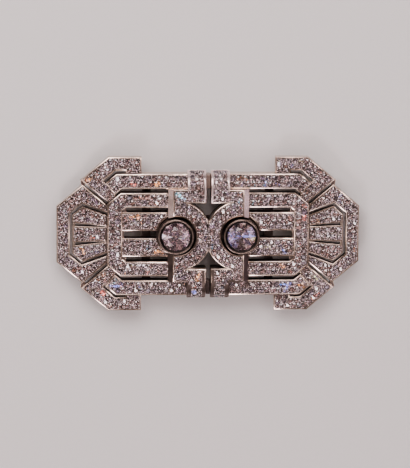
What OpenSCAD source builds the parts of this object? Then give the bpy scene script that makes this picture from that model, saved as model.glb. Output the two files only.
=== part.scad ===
// Plaque brooch: two mirrored openwork panels, each with a raised strap plate
// and one large round stone, joined behind by a frame that carries the pin.
// Millimetres. The brooch lies face up: +X along its length, +Y up the face,
// +Z out of the face, origin on the surface under the middle.
// One quarter is drawn as (u, v): u is the distance from the upright middle
// line and v the distance from the level middle line.

/* [Overall] */
// Length from end to end
brooch_l = 70; // [69:0.5:72]
// Height over the upper and lower brackets
brooch_h = 36; // [35:0.5:38]
// Slope of every chamfer, in degrees from the long axis
chamfer = 40; // [38:1:42]
// Clearance at the middle line, on each side of it
seam = 0.06; // [0.04:0.01:0.2]

/* [Levels] */
// Depth of the pin and its two blocks behind the back frame
pin_h = 2.6; // [2.4:0.1:3.5]
// Thickness of the back frame
back_t = 1.0; // [0.8:0.1:1.6]
// Thickness of the lower tier: end piece, fan and brackets
low_t = 2.0; // [1.8:0.1:3]
// Rise of the bands and the inner frame above the lower tier
band_rise = 1.0; // [0.8:0.1:1.4]
// Rise of the inner bars above the lower tier
bar_rise = 0.75; // [0.5:0.05:0.95]
// Rise of the strap plate above the lower tier
plate_rise = 2.9; // [2.4:0.1:3.4]
// Rise of the collet rim above the lower tier
collet_rise = 4.0; // [3.9:0.1:4.5]

/* [Panel across] */
// Width of the open slot along the level middle line
mid_slot_w = 1.7; // [1.4:0.1:2]
// Width of each inner bar
bar_w = 4.35; // [4:0.05:4.6]
// Width of the slot between inner bar and inner frame
inner_slot_w = 1.1; // [0.9:0.1:1.3]
// Width of the inner frame
frame_w = 3.5; // [3.3:0.1:3.7]
// Width of the slot between inner frame and band
outer_slot_w = 0.9; // [0.7:0.1:1.1]
// Width of the band
band_w = 3.55; // [3.4:0.05:3.7]

/* [Panel along] */
// Width of the end piece
end_w = 3.1; // [2.9:0.1:3.4]
// Width of the slot round the fan
fan_slot_w = 0.6; // [0.5:0.05:0.8]
// Length of the fan
fan_l = 8.0; // [7.6:0.1:8.4]
// Half height of the upright outer edge of the end piece
end_edge_v = 6.5; // [6.2:0.1:6.8]
// Distance of the outer corner of the band from the middle
band_corner_u = 21.2; // [21:0.1:21.4]
// Distance of the outer corner of the inner frame from the middle
frame_corner_u = 20.2; // [20:0.1:20.4]
// Distance of the inner end of the brackets from the middle
bracket_u = 15.4; // [14.5:0.1:16.5]
// Length of the top edge of the brackets
bracket_l = 7.6; // [7:0.1:8]
// Width of the narrow slots beside the struts and the brackets
strut_slot_w = 0.6; // [0.5:0.05:0.7]

/* [Strap plate] */
// Distance of the outer edge of the plate from the middle
plate_u = 9.3; // [9:0.1:9.6]
// Half height of the plate
plate_v = 10.8; // [10.8:0.1:11]
// Run of the sloping polished side of the plate
plate_slope = 1.1; // [0.8:0.1:1.3]
// Radius of the collar round the large stone
collar_r = 8.3; // [8.1:0.1:8.5]
// Distance of the inner edge of the strap from the middle
strap_u = 0.55; // [0.45:0.05:0.7]
// Width of the strap
strap_w = 4.35; // [4:0.05:4.5]
// Distance of the inner end of the strap from the level middle line
strap_v = 7.65; // [7.5:0.05:7.9]
// Radius of the roll of the strap over the band
roll_r = 4.15; // [4:0.05:4.3]

/* [Large stones] */
// Distance of the centre of each large stone from the middle
stone_u = 7.55; // [7.4:0.05:7.7]
// Diameter of each large stone
stone_d = 6.6; // [6.4:0.1:6.8]
// Outer radius of the collet at its rim
collet_r = 4.1; // [4:0.05:4.2]
// Radius of the recess that the collet stands in
recess_r = 4.5; // [4.45:0.05:4.6]
// Distance of the recess from the stone's centre, towards the middle
recess_shift = 0.2; // [0.1:0.05:0.2]

/* [Paved faces] */
// Width of the polished rim round each paved field
rim_w = 0.35; // [0.25:0.05:0.45]
// Depth of the paved field below its rim
pave_d = 0.15; // [0.1:0.05:0.25]

/* [Back] */
// Distance of the outer edge of the frame's uprights from the middle
back_u = 15.2; // [14:0.1:16]
// Width of the frame's uprights
upright_w = 2.0; // [1.6:0.1:2.4]
// Diameter of the two pin stems
stem_d = 0.9; // [0.8:0.05:1.1]
// Distance of each stem from the level middle line
stem_v = 3.2; // [2.8:0.1:4]
// Height of the hinge block and the catch block across the brooch
block_w = 11; // [9:0.5:13]

/* [Hidden] */
$fn = 96;

platinum = [0.72, 0.69, 0.68];
bright_platinum = [0.82, 0.80, 0.79];
stone_colour = [0.90, 0.93, 0.97];
dull_platinum = [0.58, 0.56, 0.55];

// Levels, from the surface up
back_z = pin_h;
low_z = back_z + back_t;
low_top = low_z + low_t;
bar_top = low_top + bar_rise;
band_top = low_top + band_rise;
plate_top = low_top + plate_rise;
collet_top = low_top + collet_rise;
// The collet stands in a recess cut into the lower tier
recess_floor = low_z + 1.2;
recess_u = stone_u - recess_shift;

// Edges of the strips, from the level middle line out
bar_v0 = mid_slot_w / 2;
bar_v1 = bar_v0 + bar_w;
frame_v0 = bar_v1 + inner_slot_w;
frame_v1 = frame_v0 + frame_w;
band_v0 = frame_v1 + outer_slot_w;
band_v1 = band_v0 + band_w;
bracket_v1 = brooch_h / 2;

// Edges of the upright strips, from the end in
end_u1 = brooch_l / 2;
end_u0 = end_u1 - end_w;
fan_u1 = end_u0 - fan_slot_w;
frame_u1 = fan_u1 - fan_l;
frame_u0 = frame_u1 - frame_w;
strap_u1 = strap_u + strap_w;

// Unit directions: down a chamfer, square to it, and up along the struts
fall = [cos(chamfer), -sin(chamfer)];
across = [sin(chamfer), cos(chamfer)];
climb = [cos(chamfer), sin(chamfer)];
// Shift of a corner between the two edges of a strip that turns by one chamfer
mitre = tan(chamfer / 2);

// Corners that several outlines share
frame_corner = [frame_u1, frame_v1 - (frame_u1 - frame_corner_u) * tan(chamfer)];
band_corner = [band_corner_u, band_v1];
band_end_out = band_corner + 3.4 * fall;
band_end_in = band_end_out - band_w * across;
// Outer end of each slot of the grille, short of the inner frame and of the
// corner where its chamfer starts
inner_slot_u = min(frame_u0 - 0.9, frame_corner_u - frame_w * mitre - 0.02);
mid_slot_u = frame_u0 - 0.4;
// Length of the link that closes the strut slot at its outer end
link_l = 0.5;
// Sideways clearance between pieces that are set into each other
fit_gap = 0.03;
// Outer edge of the bed under the straps
bed_v = 14.0;

// Where a line from p along d meets a line from q along e
function meet(p, d, q, e) =
    p + d * ((q - p)[0] * e[1] - (q - p)[1] * e[0]) / (d[0] * e[1] - d[1] * e[0]);

// Unit vector from p to q
function heading(p, q) = (q - p) / norm(q - p);

// Normal on the left of the line from p to q
function left_of(p, q) = [-heading(p, q)[1], heading(p, q)[0]];

// Outline moved inward by d, for corners given anticlockwise
function inset(pts, d) = [
    for (i = [0 : len(pts) - 1])
        let(
            before = pts[(i + len(pts) - 1) % len(pts)],
            after = pts[(i + 1) % len(pts)],
            a = left_of(before, pts[i]),
            b = left_of(pts[i], after)
        )
        pts[i] + (a + b) * d / (1 + a * b)
];

// Mirror image of points below the level middle line, in the same order
function below(pts) = [for (p = pts) [p[0], -p[1]]];

// The same points in the other order
function backwards(pts) = [for (i = [len(pts) - 1 : -1 : 0]) pts[i]];

// The two edges of the strut slot, from the corner of the inner frame out
strut_edge_low = frame_corner - (strut_slot_w / 2) * [-climb[1], climb[0]];
strut_edge_high = frame_corner + (strut_slot_w / 2) * [-climb[1], climb[0]];

// Corners of the end piece: its outer edge, then the edge along the strut slot
end_corner = [end_u1, end_edge_v];
end_tip = meet(end_corner, fall, strut_edge_low, climb);
end_root = meet(strut_edge_low, climb, [frame_u1, 0], [0, 1]);

// Fan: the slope of its sides is half a chamfer
fan_side = [cos(chamfer / 2), sin(chamfer / 2)];
fan_corner = [fan_u1, 4.55];
fan_tip = [fan_u1 - 2.3, fan_corner[1] + 2.3 * tan(chamfer)];
fan_root = meet(fan_tip, fan_side, [frame_u1, 0], [0, 1]);
fan_upper = [fan_root, fan_tip, fan_corner];
// Narrow wedge between two bars of the fan: its ends along u, then the
// distances of its two edges from the level middle line at each end
fan_gap_u0 = frame_u1 + 0.4;
fan_gap_u1 = fan_u1 - 0.7;
fan_gap_in = [1.65, 1.9];
fan_gap_out = [1.88, 2.6];

fan_outline = concat(below(fan_upper), backwards(fan_upper));
// Inner edge of the end piece, one slot width outside the fan
end_inner = inset(fan_outline, -fan_slot_w);
end_inner_root = meet(end_inner[5], heading(end_inner[5], end_inner[4]), [frame_u1, 0], [0, 1]);
end_upper_out = [end_root, end_tip, end_corner];
end_upper_in = [end_inner_root, end_inner[4], end_inner[3]];
end_outline = concat(
    below(end_upper_out), backwards(end_upper_out), end_upper_in, below(backwards(end_upper_in))
);

// Bracket with its strut, upper right quarter
bracket_corner = [bracket_u + bracket_l, bracket_v1];
bracket_tip = meet(bracket_corner, fall, strut_edge_high, climb);
strut_root = meet(strut_edge_high, climb, [frame_u1, 0], [0, 1]);
strut_foot = band_end_in - 0.62 * across;
bracket_slot_end = band_end_out + strut_slot_w * across;
bracket_slot_corner = meet(bracket_slot_end, fall, [0, band_v1 + strut_slot_w], [1, 0]);
bracket_slot_u = 19.1;
bracket_outline = [
    [bracket_u, band_v1],
    [bracket_slot_u, band_v1],
    [bracket_slot_u, band_v1 + strut_slot_w],
    bracket_slot_corner,
    bracket_slot_end,
    band_end_in,
    strut_foot,
    frame_corner,
    strut_root,
    bracket_tip,
    bracket_corner,
    [bracket_u, bracket_v1]
];

// The same for its paved field: the strut's two sides are carried on until
// they meet, so the rim doesn't cross itself in the narrow corner there
strut_point = meet(strut_foot, heading(strut_foot, frame_corner), strut_edge_high, climb);
bracket_field = [
    for (p = bracket_outline)
        if (p != strut_root) p == frame_corner ? strut_point : p
];

// Band, upper right quarter, from just outside the strap
band_outline = [
    [strap_u1 + fit_gap, band_v0],
    [band_corner_u - band_w * mitre, band_v0],
    band_end_in,
    band_end_out,
    band_corner,
    [strap_u1 + fit_gap, band_v1]
];

// Inner frame: a C open towards the middle
frame_upper_in = [
    [plate_u, frame_v0],
    [frame_corner_u - frame_w * mitre, frame_v0],
    [frame_u0, frame_v0 - (frame_u0 - frame_corner_u + frame_w * mitre) * tan(chamfer)]
];
frame_upper_out = [[plate_u, frame_v1], [frame_corner_u, frame_v1], frame_corner];
frame_outline = concat(
    below(frame_upper_out),
    backwards(frame_upper_out),
    frame_upper_in,
    below(backwards(frame_upper_in))
);

// Draws its children and their mirror image below the level middle line
module up_and_down() {
    children();
    mirror([0, 1, 0]) children();
}

// Places a right-hand piece as drawn, or its mirror image on the left
module side(name) {
    if (name == "right") children();
    else mirror([1, 0, 0]) children();
}

// One of the two narrow wedges that part the three bars of the fan
module fan_gap_2d() {
    polygon([
        [fan_gap_u0, fan_gap_in[0]], [fan_gap_u1, fan_gap_out[0]],
        [fan_gap_u1, fan_gap_out[1]], [fan_gap_u0, fan_gap_in[1]]
    ]);
}

// Everything of the lower tier that shows beside the raised parts
module lower_tier_2d() {
    polygon(end_outline);
    difference() {
        polygon(fan_outline);
        up_and_down() fan_gap_2d();
    }
    up_and_down() polygon(bracket_outline);
    up_and_down() link_2d();
}

// Small link between the tips of end piece and bracket, let into both
module link_2d() {
    bite = 0.15 * fall;
    out = -0.1 * climb;
    in = -(0.1 + link_l) * climb;
    polygon([
        end_tip + bite + out, bracket_tip - bite + out,
        bracket_tip - bite + in, end_tip + bite + in
    ]);
}

// Band, inner frame and the seat of the strap plate: the raised tier
module raised_tier_2d() {
    up_and_down() polygon(band_outline);
    polygon(frame_outline);
    difference() {
        seat_2d(0.15);
        up_and_down() translate([seam, 0]) square([strap_u - seam, band_v1]);
    }
}

// Outline of the collar and the plate behind it, drawn in by a margin
module seat_2d(margin) {
    translate([strap_u1, -plate_v + margin])
        square([plate_u - strap_u1, 2 * (plate_v - margin)]);
    intersection() {
        translate([stone_u, 0]) circle(r = collar_r - margin);
        translate([seam, -collar_r]) square([plate_u - seam, 2 * collar_r]);
    }
    up_and_down()
        translate([strap_u + margin, strap_v + margin])
            square([strap_w - margin, plate_v - strap_v - 2 * margin]);
}

// Two inner bars, with the ring that bounds the recess at their inner ends
module bars_2d() {
    difference() {
        up_and_down() bar_2d();
        translate([recess_u, 0]) circle(r = recess_r);
    }
    up_and_down() grille_corner_2d();
}

module bar_2d() {
    translate([plate_u, bar_v0]) square([frame_u0 - plate_u, bar_w]);
}

// Metal left between the outer ends of the slots and the inner frame
module grille_corner_2d() {
    polygon([
        [inner_slot_u, bar_v1], [frame_u0, bar_v1],
        frame_upper_in[2], frame_upper_in[1], [inner_slot_u, frame_v0]
    ]);
    translate([mid_slot_u, 0]) square([frame_u0 - mid_slot_u, bar_v0]);
}

// Lower tier under the straps, where the band goes on to the middle
module strap_bed_2d() {
    up_and_down()
        translate([strap_u + 0.1, plate_v - 0.2])
            square([strap_w + 0.2, bed_v - plate_v + 0.2]);
}

// A paved field: the outline inside its rim, cut into the top at height z
module paved_cut(z) {
    translate([0, 0, z - pave_d]) linear_extrude(pave_d + 1) children();
}

module openwork_half() {
    difference() {
        union() {
            translate([0, 0, low_z]) linear_extrude(low_t) {
                lower_tier_2d();
                strap_bed_2d();
            }
            translate([0, 0, low_z]) linear_extrude(low_t + band_rise) raised_tier_2d();
            translate([0, 0, low_z]) linear_extrude(low_t + bar_rise) bars_2d();
        }
        paved_cut(low_top) polygon(inset(end_outline, rim_w));
        paved_cut(low_top) fan_fields_2d();
        paved_cut(low_top) up_and_down() polygon(inset(bracket_field, rim_w));
        paved_cut(band_top) up_and_down() polygon(inset(band_outline, rim_w));
        paved_cut(band_top) polygon(inset(frame_outline, rim_w));
        paved_cut(bar_top) bar_fields_2d();
        translate([recess_u, 0, recess_floor]) cylinder(r = recess_r, h = collet_rise + low_t);
        // Light hole behind the large stone
        translate([stone_u, 0, low_z - 1]) cylinder(r = 2.6, h = low_t + 2);
    }
}

// Fields of the three fan bars
module fan_fields_2d() {
    middle_in = fan_gap_in[0] - rim_w;
    middle_out = fan_gap_out[0] - rim_w;
    u0 = fan_gap_u0;
    u1 = fan_gap_u1;
    polygon([[u0, -middle_in], [u1, -middle_out], [u1, middle_out], [u0, middle_in]]);
    side_bar = [[u0, fan_gap_in[1] + rim_w], [u1, fan_gap_out[1] + rim_w]];
    rim = inset(fan_outline, rim_w);
    up_and_down() polygon(concat(side_bar, [[u1, rim[3][1]], rim[4], [u0, rim[5][1]]]));
}

// Fields of the two inner bars, clear of the ring round the recess
module bar_fields_2d() {
    difference() {
        up_and_down()
            translate([plate_u, bar_v0 + rim_w])
                square([frame_u0 - rim_w - plate_u, bar_w - 2 * rim_w]);
        translate([recess_u, 0]) circle(r = recess_r + rim_w);
    }
}

// Plate: a block whose outer side slopes, with the collar before it
module plate_block(top) {
    h = top - band_top;
    translate([0, plate_v, band_top]) rotate([90, 0, 0]) linear_extrude(2 * plate_v)
        polygon([
            [strap_u1 - 0.1, 0], [plate_u, 0],
            [plate_u - plate_slope, h], [strap_u1 - 0.1, h]
        ]);
    translate([0, 0, band_top]) linear_extrude(h) {
        intersection() {
            translate([stone_u, 0]) circle(r = collar_r);
            translate([seam, -collar_r]) square([plate_u - plate_slope - seam, 2 * collar_r]);
        }
    }
}

// Strap seen from its side: level on the plate, then rolling down past the
// outer edge of the band. drop is how far the surface lies below the rims.
module strap_profile(drop) {
    roll_v = 11.0;
    foot_z = low_top - 0.35;
    top = plate_top - drop;
    difference() {
        union() {
            translate([strap_v, low_top]) square([roll_v - strap_v, top - low_top]);
            intersection() {
                translate([roll_v, plate_top - roll_r]) circle(r = roll_r - drop);
                translate([roll_v - 0.01, foot_z]) square([roll_r + 1, 2 * roll_r]);
            }
        }
        // Room for the raised tier below the plate, and for the strap's bed
        translate([strap_v - 1, low_top - 1]) square([plate_v - strap_v + 1, 1 + band_rise]);
        translate([roll_v - 1, low_top - 1]) square([bed_v + fit_gap - roll_v + 1, 1]);
    }
}

// A stretch of strap w wide, its inner edge u from the middle
module strap_prism(u, w, drop) {
    translate([u, 0, 0]) rotate([90, 0, 90]) linear_extrude(w) strap_profile(drop);
}

module strap_plate_half() {
    difference() {
        union() {
            plate_block(plate_top);
            up_and_down() {
                strap_prism(strap_u, strap_w, pave_d);
                strap_prism(strap_u, rim_w, 0);
                strap_prism(strap_u1 - rim_w, rim_w, 0);
            }
        }
        paved_cut(plate_top) plate_field_2d();
        translate([recess_u, 0, band_top - 1]) cylinder(r = recess_r, h = plate_rise + 2);
    }
}

// Paved field of the plate, the collar and the level stretch of the strap
module plate_field_2d() {
    difference() {
        union() {
            translate([strap_u1 - rim_w, -plate_v + rim_w])
                square([plate_u - plate_slope - strap_u1, 2 * (plate_v - rim_w)]);
            intersection() {
                translate([stone_u, 0]) circle(r = collar_r - rim_w);
                translate([seam - 1, -collar_r])
                    square([plate_u - plate_slope - rim_w - seam + 1, 2 * collar_r]);
            }
            up_and_down()
                translate([strap_u + rim_w, strap_v + rim_w])
                    square([strap_w - rim_w, plate_v - strap_v - 2 * rim_w]);
        }
        translate([recess_u, 0]) circle(r = recess_r + rim_w);
    }
}

// Collet: a tapered tube with a bevelled rim and a seat for the stone
module collet() {
    girdle_z = collet_top - 0.45;
    seat_r = stone_d / 2 + 0.03;
    foot_r = collet_r - 0.5;
    translate([stone_u, 0, 0]) rotate_extrude()
        polygon([
            [foot_r - 0.9, recess_floor],
            [foot_r, recess_floor],
            [collet_r, band_top],
            [collet_r, collet_top - 0.06],
            [collet_r - 0.06, collet_top],
            [collet_r - rim_w, collet_top],
            [seat_r, girdle_z + 0.12],
            [seat_r, girdle_z - 0.14],
            [seat_r - 0.8, girdle_z - 0.95],
            [foot_r - 0.9, girdle_z - 1.4]
        ]);
}

// Points of a regular ring: n points of radius r at height z, turned by a
function ring(n, r, z, a) = [
    for (i = [0 : n - 1]) [r * cos(a + 360 * i / n), r * sin(a + 360 * i / n), z]
];

// Round brilliant with its eight-sided table, kites and girdle facets
module centre_stone() {
    r = stone_d / 2;
    girdle_h = 0.14;
    table_r = 0.575 * r;
    crown_h = 0.31 * r;
    pavilion_h = 0.86 * r;
    // Kites fall evenly from a table corner to the girdle
    star_r = 0.80 * r;
    star_z = girdle_h + crown_h * (r - star_r * cos(22.5)) / (r - table_r);
    // Lower kites rise evenly from the point to the girdle
    keel_r = 0.24 * r;
    keel_z = -pavilion_h * (1 - keel_r * cos(22.5) / r);
    points = concat(
        ring(8, table_r, girdle_h + crown_h, 0),
        ring(8, star_r, star_z, 22.5),
        ring(16, r, girdle_h, 0),
        ring(16, r, 0, 0),
        ring(8, keel_r, keel_z, 22.5),
        [[0, 0, -pavilion_h]]
    );
    translate([stone_u, 0, collet_top - 0.45 - girdle_h / 2])
        hull() polyhedron(points, [[for (i = [0 : len(points) - 1]) i]]);
}

// Frame behind both panels: two rails, two uprights, and the two links that
// show between the straps
module back_frame() {
    rail_v0 = 11.1;
    rail_v1 = 13.8;
    translate([0, 0, back_z]) linear_extrude(back_t) difference() {
        square([2 * back_u, 2 * rail_v1], center = true);
        square([2 * (back_u - upright_w), 2 * rail_v0], center = true);
    }
    up_and_down()
        translate([-strap_u + 0.08, band_v0 + 0.1, low_z - 0.5])
            cube([2 * (strap_u - 0.08), 14.0 - band_v0 - 0.1, low_t + band_rise + 0.4]);
}

// Pin: hinge block, catch block and two stems in one plain piece
module pin() {
    stem_z = 0.95;
    hinge_u = back_u - upright_w;
    translate([-back_u, -block_w / 2, 0]) cube([upright_w, block_w, pin_h]);
    translate([hinge_u, -block_w / 2, 0]) cube([upright_w, block_w, pin_h]);
    up_and_down() translate([-hinge_u - 0.5, stem_v, stem_z]) rotate([0, 90, 0])
        cylinder(d = stem_d, h = 2 * hinge_u + 1);
}

color(platinum) side("left") openwork_half();  // openwork_left
color(platinum) side("right") openwork_half();  // openwork_right
color(bright_platinum) side("left") strap_plate_half();  // strap_plate_left
color(bright_platinum) side("right") strap_plate_half();  // strap_plate_right
color(bright_platinum) side("left") collet();  // collet_left
color(bright_platinum) side("right") collet();  // collet_right
color(stone_colour) side("left") centre_stone();  // centre_stone_left
color(stone_colour) side("right") centre_stone();  // centre_stone_right
color(dull_platinum) back_frame();
color(dull_platinum) pin();
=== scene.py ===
# %% [markdown]
# A plaque brooch in platinum and diamonds, lying face up on a pale table. The
# packed CAD model is the frame: every piece below is worked out in the same
# place and to the same size, and then either stands for a CAD node or lies on
# one. The CAD holds the solid shapes; the stones, the small beads that hold
# them, the rounded rims and the finishes are made here.

# %% Load the frame
from math import cos, pi, radians, sin, sqrt

import bmesh
import bpy
import numpy as np
from mathutils import Matrix, Vector
from mathutils.geometry import tessellate_polygon


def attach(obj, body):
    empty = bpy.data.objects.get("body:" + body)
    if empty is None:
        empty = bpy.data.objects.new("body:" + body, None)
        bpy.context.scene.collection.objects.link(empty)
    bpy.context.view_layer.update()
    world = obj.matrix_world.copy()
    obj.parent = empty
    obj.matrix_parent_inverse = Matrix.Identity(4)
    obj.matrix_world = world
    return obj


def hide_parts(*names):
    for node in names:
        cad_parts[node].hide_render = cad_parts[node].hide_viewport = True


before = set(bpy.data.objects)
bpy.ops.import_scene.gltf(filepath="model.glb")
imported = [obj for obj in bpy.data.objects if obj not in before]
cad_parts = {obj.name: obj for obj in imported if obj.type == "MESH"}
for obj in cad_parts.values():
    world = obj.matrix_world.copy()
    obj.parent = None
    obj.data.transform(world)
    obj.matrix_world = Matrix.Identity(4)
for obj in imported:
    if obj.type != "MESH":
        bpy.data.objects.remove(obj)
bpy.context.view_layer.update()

# %% [markdown]
# Everything is drawn in millimetres, because a jeweller thinks in them, and
# becomes metres once, when a mesh is made. A shell is one run of surface: its
# points, its faces of four and of three corners, and the number of its finish
# in the piece's list. Several shells make one piece. Whole arrays are handed
# over, so no loop walks the points one by one.

# %% Shells and pieces
MM = 0.001
# Edges that turn by more degrees than this stay sharp
CREASE = 30.0


def shell(points, quads=(), tris=(), finish=0):
    """One run of surface. The finish is one number for all its faces, or one
    for each face, those of four corners first."""
    return {
        "points": np.asarray(points, float).reshape(-1, 3),
        "quads": np.asarray(quads, int).reshape(-1, 4),
        "tris": np.asarray(tris, int).reshape(-1, 3),
        "finish": finish,
    }


def mirrored(shells, axis):
    """The shells seen in a mirror across one axis: that coordinate changes
    sign, and each face is read backwards, so that it still points outwards."""
    flip = np.ones(3)
    flip[axis] = -1
    return [
        shell(s["points"] * flip, s["quads"][:, ::-1], s["tris"][:, ::-1], s["finish"])
        for s in shells
    ]


def add_object(name, data):
    """A new object in the scene, at the origin."""
    made = bpy.data.objects.new(name, data)
    bpy.context.scene.collection.objects.link(made)
    return made


def add_piece(name, mesh):
    """A piece of the brooch: it rides on the root body."""
    piece = add_object(name, mesh)
    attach(piece, "root")
    return piece


def smooth(mesh):
    """Shades a mesh smooth, but leaves its creases sharp."""
    mesh.shade_smooth()
    mesh.set_sharp_from_angle(angle=radians(CREASE))


def make_piece(name, shells, finishes):
    """Joins the shells into one piece. The faces of four corners come first."""
    starts = np.cumsum([0] + [len(s["points"]) for s in shells])
    points = np.vstack([s["points"] for s in shells])
    quads = np.vstack([s["quads"] + k for s, k in zip(shells, starts)])
    tris = np.vstack([s["tris"] + k for s, k in zip(shells, starts)])
    each = [np.broadcast_to(s["finish"], len(s["quads"]) + len(s["tris"])) for s in shells]
    finish = np.concatenate(
        [f[:len(s["quads"])] for f, s in zip(each, shells)]
        + [f[len(s["quads"]):] for f, s in zip(each, shells)]
    )
    mesh = bpy.data.meshes.new(name)
    mesh.from_pydata((points * MM).tolist(), [], quads.tolist() + tris.tolist())
    for made in finishes:
        mesh.materials.append(made)
    mesh.polygons.foreach_set("material_index", finish.astype(np.int32))
    smooth(mesh)
    mesh.update()
    print(name, "has", len(points), "points and", 2 * len(quads) + len(tris), "triangles")
    return add_piece(name, mesh)


print("edges that turn by more than", CREASE, "degrees stay sharp")

# %% [markdown]
# The plan of one half is a set of outlines, as a goldsmith would saw them from
# sheet. They are given as (u, v): u is the distance from the upright middle
# line of the brooch, and v the height above the level one. All of them run
# anticlockwise, so that the metal is always on the left of a walk round them.

# %% Levels and outlines of one half
# Heights above the table: the openwork's back, and the tops of the tiers
LOW_Z, LOW_TOP = 3.6, 5.6
BAR_TOP, BAND_TOP, PLATE_TOP, COLLET_TOP = 6.35, 6.6, 8.5, 9.6
# The recess that a collet stands in: its floor, its radius, and the light hole's
RECESS_FLOOR, RECESS_R, LIGHT_HOLE_R = 4.8, 4.5, 2.6
# Place and radius of a large stone, the collar round it, and half the gap
# between the two halves
STONE_U, STONE_R, COLLAR_R, SEAM = 7.55, 3.3, 8.3, 0.06
# The recess of a large stone lies a little nearer to the middle than the stone
RECESS_U = STONE_U - 0.2
# Half the opening between the two inner bars
BAR_GAP = 0.85
# Both sides of a strap and its start, where it begins to roll, and the radius
STRAP_U0, STRAP_U1, STRAP_V, ROLL_V, ROLL_R = 0.55, 4.9, 7.65, 11.0, 4.15
# The plate's upper edge, the top and the foot of its sloping side, and the
# height at which the slope begins
PLATE_V, PLATE_EDGE, PLATE_FOOT, SLOPE_Z = 10.8, 8.2, 9.3, 7.4


def arc(centre, radius, first, last, count):
    """Points on a circle from one angle to another, in degrees."""
    angle = np.radians(np.linspace(first, last, count))
    return np.column_stack((centre + radius * np.cos(angle), radius * np.sin(angle)))


def walk(*parts):
    """One outline from points and runs of points."""
    return np.vstack([np.atleast_2d(np.asarray(p, float)) for p in parts])


def down(outline):
    """The mirror image below the level middle line, still anticlockwise."""
    return outline[::-1] * (1, -1)


end_half = walk(
    (35, 6.5), (28.967, 11.562), (22.95, 6.513), (22.95, 4.916), (29.12, 7.162), (31.9, 4.83),
)
end_outline = walk(down(end_half), end_half)
fan_half = walk((31.3, 4.55), (29, 6.48), (22.95, 4.278))
fan_outline = walk(down(fan_half), fan_half)
bracket_outline = walk(
    (15.4, 13.93), (19.1, 13.93), (19.1, 14.85), (21.418, 14.85), (24.19, 12.524),
    (23.805, 12.065), (23.56, 12.27), (20.976, 8.694), (22.796, 7.167), (29.353, 12.669),
    (23, 18), (15.4, 18),
)
band_outline = walk(
    (4.55, 10.7), (19.908, 10.7), (21.523, 9.345), (23.805, 12.065), (21.2, 14.25),
    (19.1, 14.25), (15.4, 14.25), (4.55, 14.25),
)
frame_half = walk((23.3, 7.199), (20.2, 9.8), (8.9, 9.8), (8.9, 6.3), (18.926, 6.3), (19.8, 5.567))
frame_outline = walk(down(frame_half), frame_half)
bar_low_u = RECESS_U + sqrt(RECESS_R ** 2 - BAR_GAP ** 2)
bar_outline = walk(
    (20.1, BAR_GAP), (20.1, 5.2), (8.9, 5.2), (8.9, 4.35),
    arc(RECESS_U, RECESS_R, 68.0, np.degrees(np.arctan2(BAR_GAP, bar_low_u - RECESS_U)), 14),
)
gap_outline = walk((23.7, 1.65), (30.6, 1.88), (30.6, 2.6), (23.7, 1.9))
low_tier = (end_outline, fan_outline, bracket_outline)
print("the three outlines of the lower tier have", sum(map(len, low_tier)), "corners")

# %% [markdown]
# A strip of the openwork is a block of metal whose top is sunk a little inside
# a polished rim. Its surface is a profile carried round the outline: up the
# outer wall, over a small round into the rim, and down again to the bed where
# the stones sit. Moving an outline inward needs the mitre rule: at a corner
# with edge normals a and b, a step of depth d is d (a + b) / (1 + a . b).

# %% Walls and rims
# Width of a rim, depth of the bed inside it, and the radii of the rim's rounds
RIM_W, BED_DEPTH = 0.33, 0.22
OUTER_ROUND, INNER_ROUND = 0.12, 0.07
# Finishes of a piece's faces, in the order of the list of metals further down
POLISHED, SHADED_BED, PAINTED_SHADE, PLAIN, SLOPE, SHADED_SLOPE, COLLET, STRAP_RIM, GROOVE_SHADE = range(9)
# Beside an opening a wall is painted dark as shade up to this far below its top
SHADE_EDGE_DEPTH = 0.35
# The rim falls this much towards its outer edge, as filing leaves it
RIM_FALL = 0.05


def inset(outline, depth):
    """The outline moved to its left by a depth, with mitred corners."""
    before = outline - np.roll(outline, 1, axis=0)
    after = np.roll(outline, -1, axis=0) - outline
    a = before[:, ::-1] * (-1, 1) / np.linalg.norm(before, axis=1)[:, None]
    b = after[:, ::-1] * (-1, 1) / np.linalg.norm(after, axis=1)[:, None]
    return outline + (a + b) * depth / (1 + (a * b).sum(1))[:, None]


def carried(outline, profile, finish=POLISHED):
    """A profile of (depth, height) pairs carried round a closed outline. Ring k
    is the outline moved inward by depth k, at height k. The finish may be a
    table with a row for each step of the profile and a column for each edge."""
    count = len(outline)
    rings = [np.column_stack((inset(outline, d), np.full(count, h))) for d, h in profile]
    index = np.arange(len(rings) * count).reshape(len(rings), count)
    after = np.roll(index, -1, axis=1)
    quads = np.stack((index[:-1], after[:-1], after[1:], index[1:]), axis=-1)
    finish = np.broadcast_to(finish, quads.shape[:2]).ravel()
    return shell(np.vstack(rings), quads, finish=finish)


def lid(outlines, height, finish=POLISHED, up=True):
    """The flat face inside the first outline and outside the others. The sign
    of each triangle's area says which way it faces."""
    flat = np.vstack(outlines)
    tris = np.array(tessellate_polygon([[Vector((u, v, 0)) for u, v in o] for o in outlines]))
    first, second = flat[tris[:, 1]] - flat[tris[:, 0]], flat[tris[:, 2]] - flat[tris[:, 0]]
    turn = first[:, 0] * second[:, 1] - first[:, 1] * second[:, 0]
    wrong = (turn > 0) != up
    tris[wrong] = tris[wrong][:, ::-1]
    points = np.column_stack((flat, np.full(len(flat), height)))
    return shell(points, tris=tris, finish=finish)


def rounded(depth, height, radius, first, last, steps=3):
    """Pairs on a quarter of a circle, from one angle to another. Angle 0 points
    to the outer side and 90 upwards."""
    angle = np.radians(np.linspace(first, last, steps + 1))
    return [(depth - radius * cos(t), height + radius * sin(t)) for t in angle]


def wall_up(bottom, top, fall=0.0):
    """Up the outer wall and over the round onto the rim. The rim falls outward
    by a little, so each side of a strip mirrors another part of the room."""
    last = 75 if fall else 90
    turn = rounded(OUTER_ROUND, top - fall - OUTER_ROUND, OUTER_ROUND, 0, last)
    return [(0, bottom), (0, top - SHADE_EDGE_DEPTH)] + turn


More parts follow.
